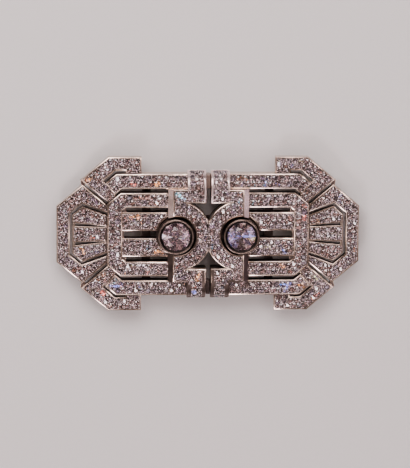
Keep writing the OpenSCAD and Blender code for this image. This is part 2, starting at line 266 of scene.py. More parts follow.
def wall_down(top, width):
    """Over the inner round of the rim and down to the bed."""
    turn = rounded(width - INNER_ROUND, top - INNER_ROUND, INNER_ROUND, 90, 180)
    return turn + [(width, top - BED_DEPTH)]


print("the wall and rim profile has", len(wall_up(0, 1) + wall_down(1, RIM_W)), "points")

# %% [markdown]
# The outer wall of the brooch is polished down to its foot. In the openings the
# walls show their polish only near the top, and lower down they are painted dark
# as shade. Which wall is which could be listed by hand. Here each edge is asked
# instead: if a point a little way out from it still lies inside the silhouette, it faces an
# opening.

# %% Strips and plain blocks
silhouette = np.array((
    (0, -14.25), (15.4, -14.25), (15.4, -18), (23, -18), (29.35, -12.67), (28.97, -11.56),
    (35, -6.5), (35, 6.5), (28.97, 11.56), (29.35, 12.67), (23, 18), (15.4, 18),
    (15.4, 14.25), (0, 14.25),
))
# How far out from a wall the silhouette is asked for
LOOK_OUT = 1.2


def wall_finishes(outline, steps, has_bed=False):
    """Finish of each step and edge. Beside an opening the lowest step is painted
    dark as shade, and with a bed the last step is the bed's wall."""
    edge = np.roll(outline, -1, axis=0) - outline
    outward = edge[:, ::-1] * (1, -1) / np.linalg.norm(edge, axis=1)[:, None]
    beside = wall_gap(outline + edge / 2 + LOOK_OUT * outward, silhouette)[0] > 0
    table = np.full((steps, len(outline)), POLISHED)
    # Beside an opening the lowest step is painted dark as shade
    table[0, beside] = PAINTED_SHADE
    # The bed's wall is painted dark as shade
    if has_bed:
        table[-1] = SHADED_BED
    return table


def strip(outline, bottom, top, size, seed, root=0.0):
    """A whole strip: wall and rim, the paved bed, and the plain back. Gives the
    shells of metal, and the stones and beads as rows (u, v, height, radius)."""
    bed = inset(outline, RIM_W)
    metal, stones, beads = paved(bed, top, size, seed, from_root(bed, root))
    profile = wall_up(bottom, top, RIM_FALL) + wall_down(top, RIM_W)
    table = wall_finishes(outline, len(profile) - 1, has_bed=True)
    metal += [carried(outline, profile, table), lid([outline], bottom, PLAIN, up=False)]
    return metal, stones, beads


def block(outline, bottom, top, finish=POLISHED):
    """A plain piece with a rounded edge and a flat top."""
    profile = wall_up(bottom, top)
    return [
        carried(outline, profile, wall_finishes(outline, len(profile) - 1)),
        lid([inset(outline, OUTER_ROUND)], top, finish),
        lid([outline], bottom, PLAIN, up=False),
    ]


def both(shells):
    """The shells and their mirror image below the level middle line."""
    return shells + mirrored(shells, 1)


print("the silhouette of one half has", len(silhouette), "corners")

# %% [markdown]
# A paved field is filled with round stones as evenly as a setter would do it.
# Seeds are spread far apart first, then each moves to the middle of the part of
# the field that is nearest to it, again and again, and at last they push each
# other and the walls away. A setter fills the narrow corners with smaller stones
# from the same packet, so the widest gap that is left gets one, and then the next.

# %% Filling a field with stones
# Step between sample points, and the groove that stays free along a rim
SAMPLE_STEP, GROOVE = 0.13, 0.11
# A stone takes up this share of the square of its width
CELL_SHARE = 0.93
# Rounds of moving to the middle of the own part, rounds of pushing, and how
# strongly other stones and the walls push
ROUNDS, PUSHES, PUSH_STONE, PUSH_WALL = 40, 60, 0.35, 0.6
# Share of the room round a stone that its radius takes
TIGHT = 0.97
# Radii as shares of the usual width: largest, smallest, smallest in a corner
LARGEST, SMALLEST, CORNER = 0.54, 0.3, 0.2


def wall_gap(points, outline):
    """Distance of each point to the nearest edge, positive inside, and the
    arrow from that edge. A point is inside if a level line from it crosses the
    outline an odd number of times."""
    edge = np.roll(outline, -1, axis=0) - outline
    along = ((points[:, None] - outline) * edge).sum(2) / (edge ** 2).sum(1)
    away = points[:, None] - outline - np.clip(along, 0, 1)[..., None] * edge
    gap = np.linalg.norm(away, axis=2)
    nearest = gap.argmin(1)
    row = np.arange(len(points))
    u, v = points[:, :1], points[:, 1:]
    low = np.minimum(outline, outline + edge)[:, 1]
    high = np.maximum(outline, outline + edge)[:, 1]
    level = np.where(edge[:, 1] == 0, 1, edge[:, 1])
    meets = outline[:, 0] + (v - outline[:, 1]) * edge[:, 0] / level
    crosses = (v >= low) & (v < high) & (meets > u)
    sign = np.where(crosses.sum(1) % 2 == 1, 1, -1)
    return gap[row, nearest] * sign, away[row, nearest] * sign[:, None]


def fill(outline, size, seed):
    """Centres and radii of stones of about one width inside an outline, and the
    sample points of the field."""
    rng = np.random.default_rng(seed)
    ranges = [np.arange(a, b, SAMPLE_STEP) for a, b in zip(outline.min(0), outline.max(0))]
    u, v = np.meshgrid(*ranges)
    samples = np.column_stack((u.ravel(), v.ravel()))
    samples += rng.uniform(-0.4, 0.4, samples.shape) * SAMPLE_STEP
    samples = samples[wall_gap(samples, outline)[0] > 0]
    count = max(1, round(len(samples) * SAMPLE_STEP ** 2 / (CELL_SHARE * size ** 2)))
    seeds = samples[rng.integers(len(samples))][None]
    nearest = np.full(len(samples), 1e9)
    for _ in range(count):
        nearest = np.minimum(nearest, ((samples - seeds[-1]) ** 2).sum(1))
        seeds = np.vstack((seeds, samples[nearest.argmax()]))
    seeds = seeds[1:]
    for _ in range(ROUNDS):
        own = ((samples[:, None] - seeds) ** 2).sum(2).argmin(1)
        held = np.maximum(np.bincount(own, minlength=count), 1)
        seeds = np.column_stack([np.bincount(own, samples[:, k], count) / held for k in (0, 1)])
    # A stone is far from itself, so that it isn't its own neighbour
    oneself = 9 * np.eye(count)
    for _ in range(PUSHES):
        apart = seeds[:, None] - seeds
        gap = np.linalg.norm(apart, axis=2) + oneself
        overlap = np.clip(size - gap, 0, None) / gap
        move = (apart * overlap[..., None]).sum(1) * PUSH_STONE
        gap, away = wall_gap(seeds, outline)
        short = np.clip(size / 2 + GROOVE - gap, 0, None) / np.maximum(np.abs(gap), 1e-6)
        seeds = seeds + move + away * short[:, None] * PUSH_WALL
    gap = np.linalg.norm(seeds[:, None] - seeds, axis=2) + oneself
    radius = np.minimum(gap.min(1) / 2, wall_gap(seeds, outline)[0] - GROOVE) * TIGHT
    radius = np.minimum(radius, LARGEST * size)
    kept = radius > SMALLEST * size
    seeds, radius = seeds[kept], radius[kept]
    # Narrow corners that are still empty get smaller stones, the widest first
    wall = wall_gap(samples, outline)[0] - GROOVE
    room = np.minimum((np.linalg.norm(samples[:, None] - seeds, axis=2) - radius).min(1), wall)
    while room.max() > CORNER * size:
        best = room.argmax()
        seeds = np.vstack((seeds, samples[best]))
        radius = np.append(radius, TIGHT * room[best])
        room = np.minimum(room, np.linalg.norm(samples - samples[best], axis=1) - radius[-1])
    return seeds, radius, samples


print("a square centimetre holds about", round(100 / (CELL_SHARE * 1.45 ** 2)), "stones")

# %% [markdown]
# Under each stone the bed is drilled, so that its pointed foot sinks in and its
# edge lies just above the metal. Beads are raised from that metal between the
# stones and pushed over their edges. They go where the gaps are widest.

# %% Seats and beads
# Room that a bead needs, how much larger than its room it is, its largest
# radius, and the least distance from one bead to the next
BEAD_ROOM, BEAD_OVERLAP, BEAD_LARGEST, BEAD_APART = 0.045, 0.085, 0.21, 0.36
# Sides of a seat, and its width and depth as shares of the stone's radius
SEAT_SIDES, SEAT_WIDE, SEAT_DEEP = 12, 0.92, 0.86


def bead_places(stones, radius, samples, outline):
    """Centres and radii of beads: the sample with the widest clearance from all
    stones is taken, those near it are dropped, and so on."""
    samples = samples[wall_gap(samples, outline)[0] > GROOVE]
    gaps = np.linalg.norm(samples[:, None] - stones, axis=2) - radius
    room = gaps.min(1)
    places = []
    while room.max() > BEAD_ROOM:
        best = room.argmax()
        places.append((*samples[best], min(BEAD_LARGEST, room[best] + BEAD_OVERLAP)))
        room = np.where(((samples - samples[best]) ** 2).sum(1) < BEAD_APART ** 2, 0, room)
    return np.array(places)


def from_root(outline, root):
    """The outline without the part closer to the middle line than the root."""
    return np.column_stack((np.maximum(outline[:, 0], root), outline[:, 1]))


def paved(outline, top, size, seed, field=None):
    """A bed with a drilled seat under each stone: the flat face inside the
    outline and outside all seats, and a cone down from the edge of each seat.
    The stones fill the field, or the whole outline if none is given."""
    field = outline if field is None else field
    centres, radius, samples = fill(field, size, seed)
    beads = bead_places(centres, radius, samples, field)
    height = top - BED_DEPTH
    turn = np.linspace(0, -2 * pi, SEAT_SIDES + 1)[:-1]
    round_hole = np.column_stack((np.cos(turn), np.sin(turn)))
    holes = centres[:, None] + SEAT_WIDE * radius[:, None, None] * round_hole
    count = len(centres)
    edge = np.dstack((holes, np.full((count, SEAT_SIDES), height)))
    tip = np.column_stack((centres, height - SEAT_DEEP * radius))
    index = np.arange(count * SEAT_SIDES).reshape(count, SEAT_SIDES)
    tip_index = np.broadcast_to(count * SEAT_SIDES + np.arange(count)[:, None], index.shape)
    cones = np.stack((index, np.roll(index, -1, axis=1), tip_index), axis=-1)
    seats = np.vstack((edge.reshape(-1, 3), tip))
    # The bed and the seats are painted dark as shade, for the shade between the stones
    metal = [
        lid([outline] + list(holes), height, SHADED_BED),
        shell(seats, tris=cones.reshape(-1, 3)[:, ::-1], finish=SHADED_BED),
    ]
    level = np.full((count, 1), top)
    stones = np.column_stack((centres, level, radius))
    beads = np.column_stack((beads[:, :2], np.full(len(beads), top), beads[:, 2]))
    return metal, stones, beads


def join_paved(*parts):
    """Puts several (metal, stones, beads) together."""
    metal = sum([p[0] for p in parts], [])
    return metal, np.vstack([p[1] for p in parts]), np.vstack([p[2] for p in parts])


def both_paved(part):
    """A paved part and its mirror image below the level middle line."""
    metal, stones, beads = part
    flip = np.array((1, -1, 1, 1))
    return both(metal), np.vstack((stones, stones * flip)), np.vstack((beads, beads * flip))


print("a seat has", SEAT_SIDES, "sides")

# %% [markdown]
# The lower tier of one half is the end piece, the fan, and the two brackets
# with their struts. The fan is cut by two narrow wedges, so its top is a flat
# face with holes: the wedges go right through, and the three beds are sunk.

# %% Fan
# Nearer to the middle than this, the low tier runs under the raised frame and
# has no stones
LOW_ROOT = 23.62
fan_beds = [
    walk((23.25, -1.38), (31.02, -1.644), (31.02, 1.644), (23.25, 1.38)),
    walk((23.25, 2.105), (31.02, 2.893), (31.02, 4.42), (28.945, 6.16), (23.25, 4.09)),
]
fan_beds.append(down(fan_beds[1]))
gap_holes = [gap_outline[::-1], down(gap_outline)[::-1]]


def fan():
    """The fan with its wedges and beds."""
    top = LOW_TOP
    wall = wall_up(LOW_Z, top)
    outlines = [fan_outline] + gap_holes
    made = [carried(o, wall, wall_finishes(o, len(wall) - 1)) for o in outlines]
    made += [carried(bed, wall_down(top, 0)) for bed in fan_beds]
    rims = [inset(o, OUTER_ROUND) for o in outlines]
    made.append(lid(rims + [inset(bed, -INNER_ROUND) for bed in fan_beds], top))
    made.append(lid(outlines, LOW_Z, PLAIN, up=False))
    middle, upper = fan_beds[:2]
    metal, stones, beads = join_paved(
        paved(middle, top, 1.35, 21, from_root(middle, LOW_ROOT)),
        both_paved(paved(upper, top, 1.3, 22, from_root(upper, LOW_ROOT))),
    )
    return made + metal, stones, beads


print("the fan has", len(fan_beds), "beds and", len(gap_holes), "wedges cut through it")

# %% [markdown]
# The raised tier is one long band above and one below, the C of the inner
# frame, and two bars that run in to the large stone. Where a strip runs under
# the plate or a strap, its outline goes on a little way inside it, as the real
# strips are soldered under the plate, and no rim shows there. Small plain blocks
# stand for the solder joints, and a floor with a light hole lies under each stone.

# %% Openwork of one half
link = walk((28.62, 11.1), (29.25, 11.4), (29.55, 12.62), (29.0, 12.55), (28.35, 11.75))
corner = walk((18.9, 5.1), (20.0, 5.1), (20.0, 5.6), (19.0, 6.45), (18.9, 6.45))
bar_end = walk((19.4, -0.95), (20.0, -0.95), (20.0, 0.95), (19.4, 0.95))
BLOCK_V = 14.0
strap_block = walk(
    (STRAP_U0 + 0.1, 10.5), (5.0, 10.5), (5.0, BLOCK_V), (STRAP_U0 + 0.1, BLOCK_V),
)
# Solder joints lie this much below the tops that they join
LINK_DROP, JOINT_DROP = 0.3, 0.25


def openwork():
    """All the soldered metal of the right-hand half, below the raised plate,
    with its stones and beads."""
    made, stones, beads = join_paved(
        strip(end_outline, LOW_Z, LOW_TOP, 1.25, 11, LOW_ROOT),
        fan(),
        both_paved(strip(bracket_outline, LOW_Z, LOW_TOP, 1.45, 12)),
        both_paved(strip(band_outline, LOW_Z, BAND_TOP, 1.47, 13)),
        strip(frame_outline, LOW_Z, BAND_TOP, 1.45, 14),
        both_paved(strip(bar_outline, LOW_Z, BAR_TOP, 1.5, 15)),
    )
    # The solder joints and links take the bed's painted shade
    made += both(block(link, LOW_Z, LOW_TOP - LINK_DROP, SHADED_BED))
    made += both(block(corner, LOW_Z, BAR_TOP - JOINT_DROP, SHADED_BED))
    made += block(bar_end, LOW_Z, BAR_TOP - JOINT_DROP, SHADED_BED)
    made += both(block(strap_block, LOW_Z, LOW_TOP))
    # The recess floor and its light hole are painted dark as shade
    floor_ring = arc(RECESS_U, RECESS_R + 0.1, 0, 360, 65)[:-1]
    hole = arc(STONE_U, LIGHT_HOLE_R, 360, 0, 49)[:-1]
    made += [
        carried(floor_ring, [(0, LOW_Z), (0, RECESS_FLOOR)], PAINTED_SHADE),
        carried(hole, [(0, LOW_Z), (0, RECESS_FLOOR)], PAINTED_SHADE),
        lid([floor_ring, hole], RECESS_FLOOR, PAINTED_SHADE),
        lid([floor_ring, hole], LOW_Z, PLAIN, up=False),
    ]
    return made, stones, beads


openwork_metal, openwork_stones, openwork_beads = openwork()
print("one half's openwork has", len(openwork_stones), "stones and", len(openwork_beads), "beads")

# %% [markdown]
# The raised plate, its collar round the large stone and the two straps are one
# continuous paved surface. The outline is drawn as if the straps lay flat, and
# the ends are then rolled over the bands: a point past the start of the roll
# keeps its distance along the strap, but goes round a circle instead, with
# angle t = (v - start) / radius, v' = start + r sin t, z' = centre + r cos t.

# %% Outline of the plate, and the roll of its straps
# The end of a strap comes down to this height
STRAP_END_Z = 5.25
ROLL_Z = PLATE_TOP - ROLL_R
ROLL_TURN = np.arccos((STRAP_END_Z - ROLL_Z) / ROLL_R)
STRAP_END = ROLL_V + ROLL_R * ROLL_TURN


def plate_outline(edge, notch_r, seam_u, strap_end, steps, collar_r=COLLAR_R):
    """Outline of the plate: seam, collar, strap, outer edge with the round
    notch for the large stone, and the same again mirrored."""
    meet_v = sqrt(collar_r ** 2 - (STONE_U - seam_u) ** 2)
    low = 180 - np.degrees(np.arcsin(meet_v / collar_r))
    high = 180 - np.degrees(np.arcsin(STRAP_V / collar_r))
    collar = arc(STONE_U, collar_r, low, high, 16)[::-1]
    notch_v = sqrt(notch_r ** 2 - (edge - RECESS_U) ** 2)
    turn = np.degrees(np.arctan2(notch_v, edge - RECESS_U))
    notch = arc(RECESS_U, notch_r, 180, turn, 24)
    along = np.linspace(ROLL_V, strap_end, steps)
    out = np.column_stack((np.full(steps, STRAP_U1), along))
    back = np.column_stack((np.full(steps, STRAP_U0), along[::-1]))
    upper = walk(
        notch[1:], (edge, PLATE_V), (STRAP_U1, PLATE_V), out, back, (STRAP_U0, STRAP_V), collar,
    )
    # The first point of the notch lies on the level middle line, and comes once
    return walk(upper, down(upper), notch[:1])


def rolled(points):
    """Rolls what lies past the start of the roll, above and below."""
    v, z = np.abs(points[:, 1]), points[:, 2]
    turn = np.clip((v - ROLL_V) / ROLL_R, 0, None)
    reach = z - ROLL_Z
    past = v > ROLL_V
    new_v = np.where(past, ROLL_V + reach * np.sin(turn), v)
    new_z = np.where(past, ROLL_Z + reach * np.cos(turn), z)
    return np.column_stack((points[:, 0], np.sign(points[:, 1]) * new_v, new_z))


def rolled_normals(v):
    """Direction square to the strap's surface at distance v along it."""
    turn = np.clip((np.abs(v) - ROLL_V) / ROLL_R, 0, None)
    return np.column_stack((np.zeros(len(v)), np.sign(v) * np.sin(turn), np.cos(turn)))


flat_outline = plate_outline(PLATE_EDGE, RECESS_R, SEAM, STRAP_END, 20)
print("the plate's outline has", len(flat_outline), "points, and a strap turns by",
      round(np.degrees(ROLL_TURN)), "degrees")

# %% [markdown]
# On the real plate each side looks its own way: the outer side slopes and is
# polished, and its lower half is painted dark as shade; the round notch is painted
# dark as shade; the upper straps have broad rims, painted whiter as highlight, and
# the lower ones turn away from the light, so their sides are painted dark as shade.
# Where the two halves meet there is no rim at all, and the stones run up to the
# seam. So the profile is carried round as before, with a table of finishes, and
# then the rings are moved where the real sides differ.

# %% Plate, collar and straps
# Two places are the same if they are no further apart than this
NEAR = 0.01
# The rims of the upper straps are this much wider than the others
STRAP_RIM_EXTRA = 0.16
# Past this line a strap's foot hangs free of the block below, down to this height
FREE_V, FREE_Z = 14.03, 5.22
# On the lower straps the stones keep between these two lines
FIELD_U0, FIELD_U1 = 1.35, 3.95


def ring_of(wall, k, count):
    """The points of ring k, which can be moved in place."""
    return wall["points"][k * count:(k + 1) * count]


def plate_finishes(outline, after, steps, seam, strap, sloping):
    """Finish of each step of the profile and each edge of the plate."""
    table = np.full((steps, len(outline)), POLISHED)
    side = sloping & (np.abs(after[:, 0] - PLATE_EDGE) < NEAR)
    # Below the level middle line the slope is painted dark as shade
    table[1, side] = np.where(outline[side, 1] > 0, SLOPE, SHADED_SLOPE)
    middle = (outline + after) / 2 - (RECESS_U, 0)
    in_notch = np.linalg.norm(middle, axis=1) < RECESS_R + 0.05
    # The round notch is painted dark as shade
    table[:2, in_notch] = PAINTED_SHADE
    table[2:, in_notch] = COLLET
    # The lower straps turn away from the light, so their sides are painted dark as shade
    table[:, (outline[:, 1] < 1 - ROLL_V) & (after[:, 1] < 1 - ROLL_V)] = SHADED_BED
    # The bed's wall and the seam are painted dark as shade
    table[-1] = SHADED_BED
    table[:, seam & np.roll(seam, -1)] = SHADED_BED
    # The upper straps' rims face the light and are painted whiter as highlight
    table[2:-1, strap & np.roll(strap, -1)] = STRAP_RIM
    return table


def plate():
    """Plate, collar and straps as one closed shell with a paved bed."""
    outline = flat_outline
    profile = wall_up(BAND_TOP, PLATE_TOP, RIM_FALL) + wall_down(PLATE_TOP, RIM_W)
    profile[1] = (0, SLOPE_Z)
    count = len(outline)
    after = np.roll(outline, -1, axis=0)
    sloping = (np.abs(outline[:, 0] - PLATE_EDGE) < NEAR) & (np.abs(outline[:, 1]) <= PLATE_V)
    seam = np.abs(outline[:, 0] - SEAM) < NEAR
    upper = outline[:, 1] > STRAP_V - NEAR
    inner_side = upper & (np.abs(outline[:, 0] - STRAP_U0) < NEAR)
    outer_side = upper & (np.abs(outline[:, 0] - STRAP_U1) < NEAR)
    table = plate_finishes(
        outline, after, len(profile) - 1, seam, inner_side | outer_side, sloping
    )
    wall = carried(outline, profile, table)
    for k in range(len(wall_up(0, 1, RIM_FALL)), len(profile)):
        ring = ring_of(wall, k, count)
        ring[inner_side, 0] += STRAP_RIM_EXTRA
        ring[outer_side, 0] -= STRAP_RIM_EXTRA
    # At the seam there is no rim: there every ring lies level with the bed
    for k, (depth, _) in enumerate(profile[2:], 2):
        ring = ring_of(wall, k, count)
        seam_v = sqrt((COLLAR_R - depth) ** 2 - (STONE_U - SEAM) ** 2)
        ring[seam, 0] = SEAM + 0.1 * depth
        ring[seam, 1] = np.sign(outline[seam, 1]) * seam_v
        ring[seam, 2] = PLATE_TOP - BED_DEPTH - (0.02 if k == 2 else 0)
    bed_edge = wall["points"][-count:, :2].copy()
    # The outer side slopes: its foot stands further out than its top
    notch_foot = sqrt(RECESS_R ** 2 - (PLATE_FOOT - RECESS_U) ** 2)
    inner = sloping & (np.abs(outline[:, 1]) < RECESS_R)
    for ring in (ring_of(wall, 0, count), ring_of(wall, 1, count)):
        ring[inner, 1] = np.sign(ring[inner, 1]) * notch_foot
        ring[sloping, 0] = PLATE_FOOT
    wall["points"] = rolled(wall["points"])
    # Under the roll the side walls go straight down to the block below
    foot, middle, rim = (ring_of(wall, k, count) for k in range(3))
    rolls = np.abs(outline[:, 1]) > ROLL_V - NEAR
    rim_v = np.abs(rim[:, 1])
    foot[rolls, 1] = (np.sign(foot[:, 1]) * rim_v)[rolls]
    foot[rolls, 2] = np.where(rim_v > FREE_V, FREE_Z, LOW_TOP)[rolls]
    middle[rolls] = (0.3 * foot + 0.7 * rim)[rolls]
    # Stones run up to the line where the halves meet. On the lower straps they
    # keep to the middle, between plain sides
    field = bed_edge.copy()
    field[seam, 0] = 0
    field[(field[:, 1] < -7) & (field[:, 0] < FIELD_U0), 0] = FIELD_U0
    field[(field[:, 1] < -11.3) & (field[:, 0] > FIELD_U1), 0] = FIELD_U1
    metal, stones, beads = paved(bed_edge, PLATE_TOP, 1.5, 16, field)
    for part in metal:
        part["points"] = rolled(part["points"])
    under = lid([outline], 0, PLAIN, up=False)
    under["points"] = foot.copy()
    return [wall] + metal + [under], stones, beads


# The tier under the plate ends here, under the start of the straps
SEAT_V = 10.9


def cut_at(outline, limit):
    """The outline without the points past a distance from the middle line."""
    return outline[np.abs(outline[:, 1]) <= limit + NEAR]


def seat():
    """The tier under the plate, which the recess of the large stone is cut in."""
    whole = plate_outline(PLATE_FOOT + 0.05, RECESS_R, SEAM + 0.12, SEAT_V, 2, COLLAR_R - 0.15)
    outline = cut_at(whole, SEAT_V)
    # The whole tier under the plate is painted dark as shade
    return [
        carried(outline, [(0, LOW_Z), (0, BAND_TOP)], PAINTED_SHADE),
        lid([outline], BAND_TOP, PAINTED_SHADE),
        lid([outline], LOW_Z, PLAIN, up=False),
    ]


plate_metal, plate_stones, plate_beads = plate()
print("one plate has", len(plate_stones), "stones and", len(plate_beads), "beads")

# %% [markdown]
# A finish is a small network of shader nodes. Two helpers keep it readable: a
# wire stands for one output that is a number, so sums can be written as sums,
# and each operator adds one Math node; and one method adds every other kind of
# node from its type, its settings and the values or links of its sockets.

# %% Wires and finishes
class Wire:
    """A number that varies over the surface."""

    def __init__(self, finish, socket):
        self.finish, self.socket = finish, socket

    def __add__(self, other):
        return self.finish.math("ADD", self, other)

    def __mul__(self, other):
        return self.finish.math("MULTIPLY", self, other)

    # A sum and a product are the same read backwards, so 0.5 * wire works too
    __radd__, __rmul__ = __add__, __mul__


class Finish:
    """A material, or the world, that is being built round its one shader."""

    def __init__(self, name, kind=bpy.data.materials, shader="Principled BSDF"):
        self.owner = kind.new(name)
        self.owner.use_nodes = True
        self.tree = self.owner.node_tree
        self.shader = self.tree.nodes[shader]

    def node(self, kind, settings, inputs):
        """Adds a node. Settings come first, because they decide which sockets
        it has; then each named or numbered socket takes a value or a link."""
        made = self.tree.nodes.new("ShaderNode" + kind)
        for name, value in settings.items():
            setattr(made, name, value)
        for name, value in inputs.items():
            self.plug(made.inputs[name], value)
        return made

    def plug(self, socket, value):
        """Gives a socket a link if the value is one, or else the plain value."""
        value = value.socket if isinstance(value, Wire) else value
        if isinstance(value, bpy.types.NodeSocket):
            self.tree.links.new(value, socket)
        else:
            socket.default_value = value

    def math(self, operation, *values):
        """One Math node."""
        made = self.node("Math", {"operation": operation}, dict(enumerate(values)))
        return Wire(self, made.outputs[0])

    def place(self):
        """Where a point is on the object, in metres."""
        return self.node("TexCoord", {}, {}).outputs["Object"]

    def stored(self, name):
        """An attribute that the mesh carries on its faces."""
        return self.node("Attribute", {"attribute_name": name}, {}).outputs

    def noise(self, place, scale, detail):
        """Fractal noise from 0 to 1. The scale counts waves in one metre."""
        inputs = {"Vector": place, "Scale": scale, "Detail": detail}
        return Wire(self, self.node("TexNoise", {}, inputs).outputs["Fac"])

    def spread(self, wire, low, high):
        """Stretches low to high over 0 to 1, with soft ends."""
        settings = {"interpolation_type": "SMOOTHSTEP"}
        made = self.node("MapRange", settings, {"Value": wire, "From Min": low, "From Max": high})
        return Wire(self, made.outputs["Result"])

    def blend(self, share, first, second, kind="MIX"):
        """Mixes two colours by a share from 0 to 1, or multiplies by the second."""
        settings = {"data_type": "RGBA", "blend_type": kind}
        first = (*first, 1) if isinstance(first, tuple) else first
        second = (*second, 1) if isinstance(second, tuple) else second
        made = self.node("Mix", settings, {"Factor": share, 6: first, 7: second})
        return made.outputs[2]

    def end(self, constants, varying):
        """Sets what is the same all over, and links what changes."""
        for name, value in {**constants, **varying}.items():
            self.plug(self.shader.inputs[name], value)
        print(self.owner.name, "has", len(self.tree.nodes), "nodes")
        return self.owner


knows = [name for name in vars(Wire) if name.endswith(("add__", "mul__"))]
print("a wire knows", knows)

# %% [markdown]
# The mount is platinum. Its rims were polished by hand, so they are bright but
# not perfect: a faint film dulls them in patches, and hairlines from wiping run
# mostly along the brooch. Deep in the openwork, in the recesses and on the beds
# between the stones, the metal is painted dark as shade. The collets are browner.
# The metal between the straps and the lower half of the plate's slope are painted
# darker as shade, and the beads and the upper straps' rims whiter as painted highlight.
# The groove round each large stone is painted near black as shade. One image of
# each could be painted; a recipe with other numbers keeps them alike and needs no picture.

# %% Platinum
def platinum(name, bright, dull, smooth, worn, relief=0.15, hairs=0.5):
    """Platinum in patches. Film is slow noise, hairs are noise that is drawn out
    along the brooch, and grit is fine noise. Colour goes from dull to bright as
    the film thins; roughness is smooth + (worn - smooth) x (film and hairs)."""
    finish = Finish(name)
    place = finish.place()
    film = finish.spread(finish.noise(place, 420, 3.0), 0.35, 0.68)
    grit = finish.noise(place, 5200, 2.0)
    drawn_out = {"Vector": place, "Rotation": (0.0, 0.0, 0.21), "Scale": (0.12, 1.0, 1.0)}
    stretched = finish.node("Mapping", {}, drawn_out).outputs[0]
    hair = finish.spread(finish.noise(stretched, 7000, 1.0), 0.52, 0.80)
    tone = 0.75 * film + 0.25 * grit
    rough = smooth + (worn - smooth) * (0.55 * film + hairs * hair)
    relief_inputs = {"Strength": relief, "Distance": 0.02 * MM, "Height": grit + 0.6 * hair}
    bump = finish.node("Bump", {}, relief_inputs)
    return finish.end(
        {"Metallic": 1.0},
        {
            "Base Color": finish.blend(tone, bright, dull),
            "Roughness": rough,
            "Normal": bump.outputs[0],
        },
    )


polished = platinum("polished_platinum", (0.82, 0.69, 0.61), (0.62, 0.51, 0.44), 0.12, 0.30)
# Painted shade for the beds between the stones and the lower straps' sides
shaded_bed_metal = platinum("shaded_bed_platinum", (0.25, 0.20, 0.18), (0.15, 0.115, 0.10), 0.30, 0.55)
# Painted shade for walls and floors deep in the openings and recesses
painted_shade_metal = platinum("painted_shade_platinum", (0.15, 0.12, 0.11), (0.08, 0.065, 0.06), 0.40, 0.65)
satin = platinum(
    "satin_platinum", (0.62, 0.56, 0.53), (0.46, 0.41, 0.39), 0.30, 0.48, 0.35, 0.8
)
# The lower half of the plate's slope, painted dark as shade
shaded_slope_metal = platinum(
    "shaded_slope_platinum", (0.14, 0.11, 0.10), (0.09, 0.07, 0.065), 0.30, 0.45, 0.12
)
# The beads are polished platinum, painted whiter than the other metal as highlight
bead_metal = platinum(
    "bead_platinum", (0.97, 0.88, 0.88), (0.78, 0.68, 0.66), 0.16, 0.28, 0.05, 0.2
)
collet_metal = platinum("collet_platinum", (0.38, 0.31, 0.27), (0.27, 0.215, 0.19), 0.16, 0.32)
# The upper straps' rims, painted whiter as highlight where they face the light
strap_rim = platinum("strap_rim_platinum", (0.97, 0.83, 0.82), (0.82, 0.68, 0.66), 0.26, 0.40)
# A lighter painted shade for the back frame in the gap between the straps
shaded = platinum("shaded_platinum", (0.42, 0.33, 0.29), (0.30, 0.24, 0.21), 0.28, 0.48)
slope_metal = platinum(
    "slope_platinum", (0.74, 0.62, 0.60), (0.58, 0.48, 0.45), 0.22, 0.38, 0.12
)
# The groove round each large stone, painted near black as shade
groove_shade_metal = platinum("groove_shade_platinum", (0.055, 0.045, 0.042), (0.03, 0.025, 0.024), 0.45, 0.65)
# In the order of the finishes' numbers: polished, shaded bed, painted shade, plain and so on
metals = [
    polished, shaded_bed_metal, painted_shade_metal, satin, slope_metal, shaded_slope_metal, collet_metal,
    strap_rim, groove_shade_metal,
]

# %% [markdown]
# With shapes and finishes at hand, the shells of one half become pieces, and
# their mirror image serves as the other half, as the two sides match.

# %% The mount
stones = np.vstack((openwork_stones, plate_stones))
beads = np.vstack((openwork_beads, plate_beads))
print("stones in one half:", len(stones), "beads:", len(beads))


def two_pieces(name, shells, node):
    """A piece for the right half and its mirror image for the left, each of
    which stands for a CAD node."""
    for side, half in (("right", shells), ("left", mirrored(shells, 0))):
        piece = make_piece(name + side, half, metals)
        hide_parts(node + side)


two_pieces("openwork_metal_", openwork_metal + seat(), "openwork_")
two_pieces("plate_metal_", plate_metal, "strap_plate_")

# %% [markdown]
# A cut stone is a closed body of flat facets. Light enters through the crown on
# top and is thrown back by the facets below, which act as mirrors because the
# stone bends light so strongly. Here the crown is clear glass of a diamond's
# index, and each lower facet is a true mirror with a tint of its own, painted in as
# reflection, so some flash and some stay dark, as the steps of a real stone do.

# %% Single cut for the small stones
def circle_points(count, radius, height, shift=0.0):
    """Evenly spaced points on a level circle, turned by a share of one step."""
    turn = 2 * pi * (np.arange(count) + shift) / count
    return np.column_stack((radius * np.cos(turn), radius * np.sin(turn), np.full(count, height)))


def single_cut():
    """A stone of radius 1 with its girdle at height 0: a table and eight facets
    above, eight below. A facet stays flat if the middle of its girdle edge lies
    on its slope, so the girdle waves a little."""
    table_r, crown, pavilion = 0.56, 0.34, 0.80
    shrink = cos(pi / 8)
    rise = crown * (1 - shrink) / (1 - table_r * shrink)
    points = np.vstack((
        circle_points(8, table_r, crown),
        circle_points(8, 1, rise + 0.02), circle_points(8, 1, 0.02, 0.5),
        circle_points(8, 1, -pavilion * (1 - shrink) - 0.02), circle_points(8, 1, -0.02, 0.5),
        [(0, 0, -pavilion)],
    ))
    a, b = np.arange(8), (np.arange(8) + 1) % 8
    faces = [tuple(a)] + [(8 + i, 16 + i, 8 + j, j, i) for i, j in zip(a, b)]
    faces += [(24 + i, 32 + i, 16 + i, 8 + i) for i in a]
    faces += [(32 + i, 24 + j, 8 + j, 16 + i) for i, j in zip(a, b)]
    mirrors = len(faces)
    faces += [(24 + i, 40, 24 + j, 32 + i) for i, j in zip(a, b)]
    return points, faces, np.arange(len(faces)) >= mirrors


